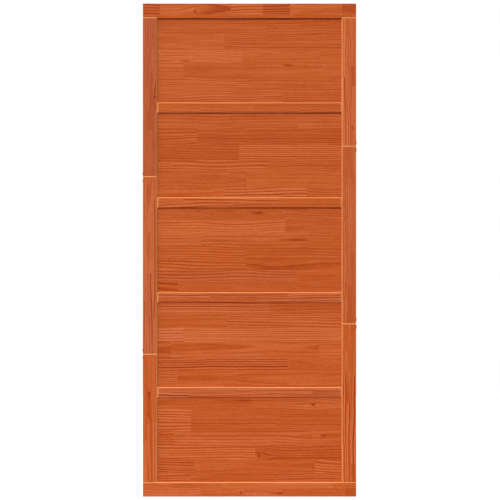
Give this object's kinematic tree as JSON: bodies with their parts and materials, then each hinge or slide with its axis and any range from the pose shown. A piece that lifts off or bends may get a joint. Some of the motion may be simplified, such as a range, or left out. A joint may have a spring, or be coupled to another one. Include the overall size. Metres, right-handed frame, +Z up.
{
  "type": "barn door",
  "caption": "Sliding barn door leaf in waxed reddish brown pine: flat glued panels one above another in a grooved frame of rails and end-jointed stiles.",
  "frame": {"origin": "middle of the leaf's top edge, on the top rail's upper face, where the leaf hangs from", "axes": "+Z up, +X to the right seen from the front, the front face towards -Y"},
  "size_m": [0.9, 0.035, 2.08],
  "materials": {
    "rail_wood": "waxed reddish brown pine, level grain, satin",
    "stile_wood": "waxed reddish brown pine, upright grain, satin",
    "panel_wood": "waxed reddish brown pine board of edge-glued staves, level grain, satin"
  },
  "bodies": {
    "root": {"top_rail": "rail_wood", "bottom_rail": "rail_wood", "cross_rail_1": "rail_wood", "cross_rail_2": "rail_wood", "cross_rail_3": "rail_wood", "cross_rail_4": "rail_wood", "left_stile_upper": "stile_wood", "left_stile_middle": "stile_wood", "left_stile_lower": "stile_wood", "right_stile_upper": "stile_wood", "right_stile_middle": "stile_wood", "right_stile_lower": "stile_wood", "panel_1": "panel_wood", "panel_2": "panel_wood", "panel_3": "panel_wood", "panel_4": "panel_wood", "panel_5": "panel_wood"}
  },
  "joints": []
}
